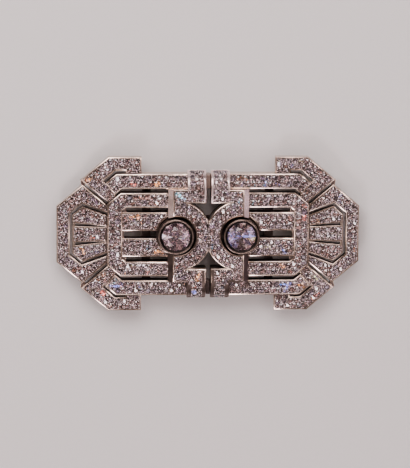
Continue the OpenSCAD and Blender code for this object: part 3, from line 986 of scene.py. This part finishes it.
def bead_dome():
    """A bead of radius 1: two rings of six points, a top and a foot."""
    points = np.vstack((
        circle_points(6, 0.95, -0.6), circle_points(6, 1.0, 0.1), circle_points(6, 0.72, 0.62),
        [(0, 0, 0.95), (0, 0, -0.6)],
    ))
    a, b = np.arange(6), (np.arange(6) + 1) % 6
    faces = [(k + i, k + j, k + 6 + j, k + 6 + i) for k in (0, 6) for i, j in zip(a, b)]
    faces += [(12 + i, 12 + j, 18) for i, j in zip(a, b)] + [(j, i, 19) for i, j in zip(a, b)]
    return points, faces, np.zeros(len(faces), bool)


small_cut, bead = single_cut(), bead_dome()
print("a small stone has", len(small_cut[1]), "facets and a bead", len(bead[1]))

# %% [markdown]
# Hundreds of stones go into one mesh. Each is the same cut, made as large as its
# seat, spun by chance about its own axis, tipped by a few degrees because no
# setter works to a hair, and turned square to the surface it sits on. The stones
# could be copies of one object, but one mesh of them all is quicker to render
# and lets each facet keep a tint of its own. Facets are shaded flat.

# %% Setting stones and beads
def on_surface(rows, rolls):
    """Places of rows (u, v, height, radius) on the brooch and the directions
    square to the surface there. Rows of the plate follow the roll."""
    normals = np.where(rolls[:, None], rolled_normals(rows[:, 1]), (0.0, 0.0, 1.0))
    place = np.where(rolls[:, None], rolled(rows[:, :3]), rows[:, :3])
    return np.column_stack((place, rows[:, 3])), normals


def set_in_place(name, cut, rows, normals, finish, seed, tilt, sink=0.10):
    """A copy p of the cut goes to place + radius x (p along side, front, axis).
    The axis is the surface's normal tipped by chance, and the side is square to
    it. Tilt is in degrees. Sink is how far the copy goes below the surface."""
    rng = np.random.default_rng(seed)
    points, faces, _ = cut
    count, corners = len(rows), len(points)
    spin = rng.uniform(0, 2 * pi, count)
    axis = normals + radians(tilt) * rng.normal(0, 0.6, (count, 3))
    axis /= np.linalg.norm(axis, axis=1)[:, None]
    side = np.cross(axis, np.column_stack((-np.sin(spin), np.cos(spin), np.zeros(count))))
    side /= np.linalg.norm(side, axis=1)[:, None]
    frames = np.stack((side, np.cross(axis, side), axis), axis=1)
    grown = points[None] * rows[:, 3][:, None, None]
    placed = (rows[:, :3] - sink * normals)[:, None] + np.einsum("spk,skx->spx", grown, frames)
    sizes = np.tile([len(f) for f in faces], count)
    loops = np.concatenate(faces) + corners * np.arange(count)[:, None]
    mesh = bpy.data.meshes.new(name)
    mesh.vertices.add(count * corners)
    mesh.vertices.foreach_set("co", (placed * MM).ravel())
    mesh.loops.add(loops.size)
    mesh.loops.foreach_set("vertex_index", loops.ravel().astype(np.int32))
    mesh.polygons.add(len(sizes))
    starts = np.concatenate(([0], np.cumsum(sizes)[:-1]))
    mesh.polygons.foreach_set("loop_start", starts.astype(np.int32))
    mesh.materials.append(finish)
    mesh.update(calc_edges=True)
    mesh.shade_flat()
    print(name, "has", count, "copies and", len(mesh.polygons), "faces")
    return add_piece(name, mesh)


def in_rows(rows, of_openwork):
    """Places and normals of all stones or beads of the right half, those of the
    openwork first, then those of the plate."""
    return on_surface(rows, np.arange(len(rows)) >= of_openwork)


stone_rows, stone_normals = in_rows(stones, len(openwork_stones))
bead_rows, bead_normals = in_rows(beads, len(openwork_beads))
print("stones are", round(2 * stone_rows[:, 3].min(), 2), "to",
      round(2 * stone_rows[:, 3].max(), 2), "mm across")

# %% [markdown]
# A diamond splits light into colours, and from any one place a few facets show
# them. Most facets get a warm white of chance brightness, which leans a little to
# amber or to lilac: this is painted reflection. A few get a pure hue, as painted
# fire. The tints are stored on the faces, for the material to read. A renderer
# that works in three colours can't split light, so at some spots, where the real
# brooch flashed at its viewer, painted glints are put: the tints there take a hue,
# and two in five of the lower facets glow in it.

# %% Facet tints
HUES = np.array((
    (1.0, 0.68, 0.40), (1.0, 0.52, 0.45), (0.58, 0.90, 1.0), (0.56, 0.62, 1.0),
    (0.94, 1.0, 0.70), (1.0, 0.95, 1.0),
))
ORANGE, RED, CYAN, BLUE, GREEN, WHITE = range(6)
# Share of a hue in the tint at a flash spot, share of facets there that glow, and
# the power that turns a tint into the colour of its glow
HUE_SHARE, GLOW_SHARE, GLOW_POWER = 0.6, 0.4, 2.2
# The crown is clear glass with hardly a tint
CROWN_TINT = (1.0, 0.96, 0.97)


def tint_facets(piece, cut, rows, seed, painted_flashes=(), darkest=0.30, brightest=1.0, hues=0.015):
    """Writes three attributes on the faces: mirror, which is 1 on lower facets,
    tint, and the glow of painted glints. Brightness is painted reflection and runs by chance from
    the darkest to the brightest."""
    rng = np.random.default_rng(seed)
    count, faces = len(rows), len(cut[1])
    # The chance brightness of each facet is painted reflection
    bright = rng.uniform(darkest, brightest, (count, faces))
    lean = rng.normal(0.05, 0.045, (count, 1)) + rng.normal(0, 0.03, (count, faces))
    amber, lilac = np.clip(lean, 0, 0.4), np.clip(-lean, 0, 0.4)
    tint = np.stack(
        (1 - 0.3 * lilac, 0.94 - 0.9 * amber - 0.8 * lilac, 0.98 - 1.5 * amber), axis=-1
    )
    tint = bright[..., None] * tint
    fiery = rng.random((count, faces)) < hues
    tint[fiery] = HUES[rng.integers(0, len(HUES), fiery.sum())]
    middle = np.empty(3 * count * faces)
    piece.data.polygons.foreach_get("center", middle)
    middle = middle.reshape(count, faces, 3) / MM
    painted_fire = np.zeros((count, faces, 4))
    # Painted glints: near each spot the tint takes a hue, and some lower facets glow in it
    for x, y, reach, hue in painted_flashes:
        near = np.hypot(middle[..., 0] - x, middle[..., 1] - y) < reach
        tint[near] = (1 - HUE_SHARE) * tint[near] + HUE_SHARE * HUES[hue]
        lit = near & cut[2] & (rng.random((count, faces)) < GLOW_SHARE)
        painted_fire[lit] = (*HUES[hue] ** GLOW_POWER, 1)
    mirror = np.tile(cut[2], (count, 1))
    tint = np.where(mirror[..., None], tint, CROWN_TINT)
    colour = np.concatenate((tint, np.ones((count, faces, 1))), axis=-1)
    for name, values in (("tint", colour), ("painted_fire", painted_fire)):
        stored = piece.data.attributes.new(name, "FLOAT_COLOR", "FACE")
        stored.data.foreach_set("color", values.ravel())
    stored = piece.data.attributes.new("mirror", "FLOAT", "FACE")
    stored.data.foreach_set("value", mirror.ravel().astype(float))
    print(piece.name, "has", int((painted_fire[..., 3] > 0).sum()), "glowing facets")


print("flashes come in", len(HUES), "hues")

# %% [markdown]
# One material serves the clear crown and the mirrors below it: the mirror
# attribute decides how metallic a face is. Two materials would do as well, but a
# stone is one thing, and its tints then have one place. In a real stone each
# mirror shows the steps of the others too, so a mosaic of cells in chance tones
# lies over the tint as painted reflection. The larger the stone, the larger its cells have to be.

# %% Diamond
DIAMOND_IOR = 2.42


def diamond(name, haze, cells_per_m, share, shine, glow):
    """Clear where the mirror attribute is 0, a tinted mirror where it is 1, with
    a breath of grease from handling in patches. Haze is the mirrors' roughness,
    and stands for the many smaller facets that a stone really has. Share says
    how much the mosaic of painted reflections darkens the tint, shine how strongly
    the crown's surface reflects, and glow how bright the painted glints are."""
    finish = Finish(name)
    place = finish.place()
    grease = finish.spread(finish.noise(place, 900, 2.0), 0.55, 0.75)
    tint, painted_fire = finish.stored("tint")["Color"], finish.stored("painted_fire")["Color"]
    mirror = Wire(finish, finish.stored("mirror")["Fac"])
    pattern = {"Vector": place, "Scale": cells_per_m}
    # The mosaic is painted reflection of the other facets
    cells = finish.node("TexVoronoi", {}, pattern).outputs["Color"]
    tones = finish.blend(Wire(finish, cells), (0.30, 0.25, 0.27), (1.0, 1.0, 0.98))
    mosaic = finish.blend(0.22, tones, cells)
    return finish.end(
        {
            "Transmission Weight": 1.0,
            "IOR": DIAMOND_IOR,
            "Specular Tint": (shine, shine, shine, 1),
            "Emission Strength": glow,
        },
        {
            "Base Color": finish.blend(share, tint, mosaic, "MULTIPLY"),
            "Emission Color": painted_fire,
            "Metallic": mirror,
            "Roughness": 0.05 * grease + haze * mirror,
        },
    )


small_diamond = diamond("small_diamond", 0.12, 3600, 0.10, 1.0, 1.2)
large_diamond = diamond("large_diamond", 0.13, 1900, 0.55, 0.4, 0.65)

# %% [markdown]
# Now both halves are paved. The halves mirror each other, but their stones are
# spun and tinted by chance with other seeds, so no two look the same. A flash is
# given by its place in millimetres, its reach and its hue, at a spot where the
# real brooch sparkled.

# %% Paving both halves
# Each spot is a painted glint, given by its place, reach and hue
painted_flashes = {
    "left": [
        (-6.8, 9.2, 0.6, CYAN), (-16.7, 4.05, 0.6, ORANGE), (-11.3, -3.9, 0.6, ORANGE),
        (-24.6, -9.85, 0.65, ORANGE), (-27.1, 12.8, 0.5, ORANGE), (-28.7, -4.2, 0.5, ORANGE),
        (-2.2, -9.4, 0.5, ORANGE), (-12.1, 11.7, 0.45, ORANGE), (-23.6, -13.95, 0.65, RED),
        (-16.8, 11.4, 0.45, RED), (-21.2, -12.1, 0.6, BLUE), (-3.0, -13.5, 0.6, BLUE),
        (-15.2, -7.0, 0.5, WHITE), (-23.6, 15.1, 0.6, WHITE),
    ],
    "right": [
        (8.0, 8.2, 0.6, WHITE), (22.0, 16.5, 0.5, WHITE), (16.0, 16.2, 0.6, WHITE),
        (30.4, -7.5, 0.6, WHITE), (13.2, 12.8, 0.5, BLUE), (17.5, -3.6, 0.45, BLUE),
        (18.4, -12.1, 0.65, BLUE), (22.4, 4.15, 0.5, RED), (25.3, 2.4, 0.6, ORANGE),
        (21.5, -11.85, 0.5, ORANGE), (17.3, -7.7, 0.45, ORANGE), (24.8, -9.75, 0.6, GREEN),
    ],
}
to_left = np.array((-1, 1, 1, 1))
STONE_TILT, BEAD_SINK = 7.5, 0.08
for side, seed in (("right", 31), ("left", 32)):
    turn = to_left if side == "left" else np.ones(4)
    rows, normals = stone_rows * turn, stone_normals * turn[:3]
    piece = set_in_place(
        "pave_" + side, small_cut, rows, normals, small_diamond, seed, STONE_TILT
    )
    tint_facets(piece, small_cut, rows, seed + 50, painted_flashes[side])
    rows, normals = bead_rows * turn, bead_normals * turn[:3]
    piece = set_in_place(
        "beads_" + side, bead, rows, normals, bead_metal, seed + 10,
        0.0, BEAD_SINK,
    )
    piece.data.shade_smooth()

# %% [markdown]
# Each large stone stands in a collet, a short tapered tube of metal. Its rim is
# pushed over the edge of the stone, and between rim and stone a narrow groove is
# left, which is painted near black as shade. A tube like this is turned: a profile
# of (radius, height) pairs is carried once round the upright axis. One finish for
# the whole would be simpler, but only the upper wall and the rim keep the metal's
# own colour. In the recess the wall is painted dark as shade, and the foot stays plain.

# %% Collets
def turned(profile, finish, count=96):
    """Ring k of the closed profile, at angle t, is (r cos t, r sin t, z)."""
    radius, height = np.array(profile).T
    angle = 2 * pi * np.arange(count) / count
    points = np.stack((
        STONE_U + radius[:, None] * np.cos(angle), radius[:, None] * np.sin(angle),
        np.repeat(height[:, None], count, axis=1),
    ), axis=-1)
    index = np.arange(len(radius) * count).reshape(len(radius), count)
    side, above = np.roll(index, -1, axis=1), np.roll(index, -1, axis=0)
    quads = np.stack((index, side, np.roll(above, -1, axis=1), above), axis=-1)
    return shell(points, quads, finish=np.repeat(finish, count))


def ring_round(radius, height, size, first, last, steps=4):
    """(radius, height) pairs on a small round, from one angle to another."""
    angle = np.radians(np.linspace(first, last, steps + 1))
    return [(radius + size * cos(t), height + size * sin(t)) for t in angle]


top = COLLET_TOP
foot = [(2.70, RECESS_FLOOR), (3.60, RECESS_FLOOR), (4.05, 6.30)]
wall = [(4.10, 6.60), (4.10, 8.45)]
rim = ring_round(3.96, top - 0.14, 0.14, 0, 90) + ring_round(3.80, top - 0.07, 0.07, 90, 180)
groove = [(3.40, 9.29), (3.31, 9.27), (3.33, 9.22), (3.33, 9.01), (2.53, 8.20), (2.70, 7.75)]
# A step's finish goes with the point that it starts from, so the upper wall is
# the step from the wall's last point, and the groove begins at the rim's last one
# The lower wall in the recess and the groove are painted dark as shade
collet_finish = np.array(
    len(foot) * [PLAIN] + [PAINTED_SHADE] + len(rim) * [COLLET] + (len(groove) + 1) * [GROOVE_SHADE]
)
collet_shell = turned(foot + wall + rim + groove, collet_finish)
two_pieces("collet_metal_", [collet_shell], "collet_")

# %% [markdown]
# The large stones are full round brilliants: a table with eight stars, eight
# kites and sixteen girdle facets above, and eight long kites with sixteen
# halves below. Every point lies where two slopes meet, so each facet is flat.
# They could be copies of the small stones, made larger, but at this size an eye
# sees the pattern of the cut.

# %% Large stones
def brilliant():
    """Points and facets for radius 1, with the girdle's middle at height 0."""
    half_girdle, table_r, crown, pavilion, star_r, keel_r = 0.021, 0.575, 0.31, 0.86, 0.80, 0.24
    shrink = cos(pi / 8)
    star_z = half_girdle + crown * (1 - star_r * shrink) / (1 - table_r)
    keel_z = -half_girdle - pavilion * (1 - keel_r * shrink)
    points = np.vstack((
        circle_points(8, table_r, half_girdle + crown), circle_points(8, star_r, star_z, 0.5),
        circle_points(16, 1, half_girdle), circle_points(16, 1, -half_girdle),
        circle_points(8, keel_r, keel_z, 0.5), [(0, 0, -half_girdle - pavilion)],
    ))
    a = np.arange(8)
    b, before = (a + 1) % 8, (a + 7) % 8
    table, star, upper, lower, keel, tip = 0, 8, 16, 32, 48, 56
    even, odd, after = upper + 2 * a, upper + 2 * a + 1, upper + (2 * a + 2) % 16
    faces = [tuple(a)] + list(zip(table + b, table + a, star + a))
    faces += list(zip(table + a, star + before, even, star + a))
    faces += list(zip(star + a, even, odd)) + list(zip(star + a, odd, after))
    sixteen = np.arange(16)
    next_one = (sixteen + 1) % 16
    faces += list(zip(lower + sixteen, lower + next_one, upper + next_one, upper + sixteen))
    mirrors = len(faces)
    # The girdle's lower points come sixteen after its upper ones
    even, odd, after = even + 16, odd + 16, after + 16
    faces += list(zip(np.full(8, tip), keel + a, even, keel + before))
    faces += list(zip(keel + a, odd, even)) + list(zip(keel + a, after, odd))
    return points, faces, np.arange(len(faces)) >= mirrors


large_cut = brilliant()
GIRDLE_Z, LARGE_TILT = 9.15, 0.5
upright = np.array([(0.0, 0.0, 1.0)])
# Painted glints on the large stones
left_spots = [(-9.8, 0.4, 0.5, WHITE), (-7.0, 2.2, 0.5, BLUE)]
right_spots = [(8.7, 0.4, 1.3, BLUE)]
for side, u, spin_seed, tint_seed, spots in (
    ("right", STONE_U, 71, 72, right_spots), ("left", -STONE_U, 72, 77, left_spots),
):
    rows = np.array([(u, 0.0, GIRDLE_Z, STONE_R)])
    piece = set_in_place(
        "large_stone_" + side, large_cut, rows, upright, large_diamond,
        spin_seed, LARGE_TILT, 0.0,
    )
    tint_facets(piece, large_cut, rows, tint_seed, spots, 0.66, 0.95, 0.02)
    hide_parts("centre_stone_" + side)
print("a large stone has", len(large_cut[1]), "facets")

# %% [markdown]
# The frame behind and the pin are hidden in wear, and a maker leaves them plain:
# filed flat, with the sharp edges taken off. The CAD shapes are right, so each
# is copied, its loose triangles are joined, the flat faces are made whole again,
# and a narrow bevel breaks the edges. What faces up is painted dark as shade. The
# faces are cut across at both sides of the gap between the straps, where a lighter painted shade
# lies.

# %% Back frame and pin
# Half the width of the gap between the straps, and the lowest place in it where the lighter
# painted shade lies
STRAP_GAP_U, STRAP_GAP_V = 1.3, 9


def eased(name, node, width):
    """A copy of a CAD node's mesh with its edges broken by a bevel. What faces
    up is painted dark as shade, and between the upper straps every face gets a lighter painted
    shade."""
    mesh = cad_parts[node].data.copy()
    mesh.name = name
    shape = bmesh.new()
    shape.from_mesh(mesh)
    bmesh.ops.remove_doubles(shape, verts=shape.verts, dist=1e-6)
    bmesh.ops.dissolve_limit(shape, angle_limit=radians(0.5), verts=shape.verts, edges=shape.edges)
    for cut in (-STRAP_GAP_U, STRAP_GAP_U):
        everything = shape.verts[:] + shape.edges[:] + shape.faces[:]
        bmesh.ops.bisect_plane(
            shape, geom=everything, plane_co=(cut * MM, 0, 0), plane_no=(1, 0, 0)
        )
    shape.to_mesh(mesh)
    shape.free()
    mesh.materials.clear()
    for finish in (satin, painted_shade_metal, shaded):
        mesh.materials.append(finish)
    # Painted shade: upward faces take the dark finish, and faces in the gap between the upper
    # straps a lighter one
    in_strap_gap = [
        abs(p.center.x) < STRAP_GAP_U * MM and p.center.y > STRAP_GAP_V * MM for p in mesh.polygons
    ]
    upward = [p.normal.z > 0.5 for p in mesh.polygons]
    numbers = [2 if gap_face else int(up) for gap_face, up in zip(in_strap_gap, upward)]
    mesh.polygons.foreach_set("material_index", numbers)
    smooth(mesh)
    piece = add_piece(name, mesh)
    bevel = piece.modifiers.new("eased edges", "BEVEL")
    bevel.width, bevel.segments, bevel.limit_method = width * MM, 2, "ANGLE"
    bevel.angle_limit = radians(40)
    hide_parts(node)
    print(name, "has", len(mesh.polygons), "faces before its bevel")


eased("back_frame_metal", "back_frame", 0.12)
eased("pin_metal", "pin", 0.10)

# %% [markdown]
# The photo was taken from nearly straight above, a little from the lower edge and
# a hair from the left, with a long lens. A camera could be turned by hand until
# it fits. Here its three directions are worked out from the angles, so each angle
# can be measured and corrected alone: back points from the brooch to the camera,
# right and up span the picture, and the roll turns both.

# %% Camera
TILT_UP, TILT_SIDE, ROLL = radians(11.0), radians(3.3), radians(0.45)
# The camera's distance, and the height of the face that it looks at, in metres
DISTANCE, FACE_Z = 0.80, 0.0056
# The picture's height in pixels, and the size of a pixel at the brooch
IMAGE_H, PIXEL = 468, 0.231 * MM
# The middle of the picture, and where in it the middle of the brooch stands
MIDDLE, SEEN = (205, 234), (208.0, 233.9)
SENSOR = 36
back = Vector((
    -sin(TILT_SIDE), sin(TILT_UP) * cos(TILT_SIDE), cos(TILT_UP) * cos(TILT_SIDE)
)).normalized()
right = Vector((0, 1, 0)).cross(back).normalized()
up = back.cross(right)
right, up = right * cos(ROLL) + up * sin(ROLL), up * cos(ROLL) - right * sin(ROLL)
camera_data = bpy.data.cameras.new("camera")
camera = add_object("camera", camera_data)
bpy.context.scene.camera = camera
camera.location = Vector((0, 0, FACE_Z)) + back * DISTANCE
camera.rotation_mode = "QUATERNION"
camera.rotation_quaternion = Matrix((right, up, back)).transposed().to_quaternion()
camera_data.sensor_width = SENSOR
camera_data.lens = SENSOR * DISTANCE / (IMAGE_H * PIXEL)
camera_data.shift_x = (MIDDLE[0] - SEEN[0]) / IMAGE_H
camera_data.shift_y = (SEEN[1] - MIDDLE[1]) / IMAGE_H
camera_data.clip_start = 0.01
print("the lens is", round(camera_data.lens), "mm long")

# %% [markdown]
# The brooch lies on a sheet of pale paper, which fills the whole picture. Paper is
# never one flat colour: fibres make it a little darker and lighter, and they
# stand up enough to break the light.

# %% Floor
floor_mesh = bpy.data.meshes.new("floor")
floor_mesh.from_pydata([(-1, -1, 0), (1, -1, 0), (1, 1, 0), (-1, 1, 0)], [], [(0, 1, 2, 3)])
floor = add_object("floor", floor_mesh)
paper = Finish("pale_paper")
fibre = paper.noise(paper.place(), 1500, 4.0)
paper_bump = paper.node("Bump", {}, {"Strength": 0.1, "Distance": 0.1 * MM, "Height": fibre})
floor_mesh.materials.append(paper.end(
    {"Roughness": 0.85},
    {
        "Base Color": paper.blend(fibre, (0.92, 0.92, 0.91), (0.88, 0.88, 0.87)),
        "Normal": paper_bump.outputs[0],
    },
))

# %% [markdown]
# The light is a plain soft studio. A large softbox high behind the brooch, the
# key, lights its face. Polished metal and cut stones show nothing but what stands
# round them, so smaller boxes stand where the rims and the slopes mirror them: two
# low ones at the sides, five round the camera, and a weak one overhead. The
# sparkle is a small bright one for the facets. The room itself is dim, with soft
# pale cards in it, made from noise and turned so that no flat table mirrors one.
# It takes this much dark between the lights for metal to look hard and bright.

# %% Light
def softbox(name, place, wide, high, power, colour):
    """A flat light that looks at the brooch."""
    light = bpy.data.lights.new(name, "AREA")
    light.shape, light.size, light.size_y = "RECTANGLE", wide, high
    light.energy, light.color = power, colour
    lamp = add_object(name, light)
    lamp.location = place
    lamp.rotation_mode = "QUATERNION"
    lamp.rotation_quaternion = Vector(place).to_track_quat("Z", "Y")


softbox("key", (-0.12, 0.42, 0.50), 0.60, 0.36, 3.0, (1.0, 0.89, 0.90))
softbox("overhead", (0.05, -0.16, 0.75), 0.22, 0.14, 0.015, (1.0, 0.84, 0.78))
softbox("sparkle", (0.05, -0.27, 0.70), 0.11, 0.08, 0.20, (1.0, 0.88, 0.89))
softbox("right side", (0.60, -0.10, 0.10), 0.30, 0.16, 0.15, (1.0, 0.80, 0.92))
softbox("left side", (-0.60, -0.10, 0.10), 0.30, 0.16, 0.10, (1.0, 0.84, 0.80))
softbox("lower left", (-0.19, -0.41, 0.54), 0.18, 0.18, 0.80, (1.0, 0.86, 0.91))
softbox("left", (-0.30, -0.13, 0.62), 0.13, 0.13, 0.12, (1.0, 0.85, 0.82))
softbox("right", (0.36, -0.13, 0.58), 0.13, 0.13, 0.10, (1.0, 0.84, 0.84))
softbox("upper right", (0.26, 0.13, 0.63), 0.15, 0.15, 0.32, (1.0, 0.87, 0.84))
softbox("top", (0.04, 0.22, 0.66), 0.20, 0.09, 0.08, (1.0, 0.85, 0.80))
room = Finish("studio", bpy.data.worlds, "Background")
toward = room.node("TexCoord", {}, {}).outputs["Generated"]
toward = room.node("Mapping", {}, {"Vector": toward, "Rotation": (0.0, 0.0, -2.21)}).outputs[0]
cards = room.spread(room.noise(toward, 8.0, 1.0), 0.56, 0.63)
tone = room.spread(room.noise(toward, 3.3, 0.0), 0.40, 0.60)
colour = room.blend(tone, (1.0, 0.84, 0.78), (0.98, 0.88, 0.97))
colour = room.blend(cards, (1.0, 0.80, 0.70), colour)
DIM, CARD = 0.07, 0.95
bpy.context.scene.world = room.end({}, {"Color": colour, "Strength": DIM + CARD * cards})
bpy.context.scene.view_settings.view_transform = "AgX"
bpy.context.scene.view_settings.look = "AgX - Medium High Contrast"

# %% [markdown]
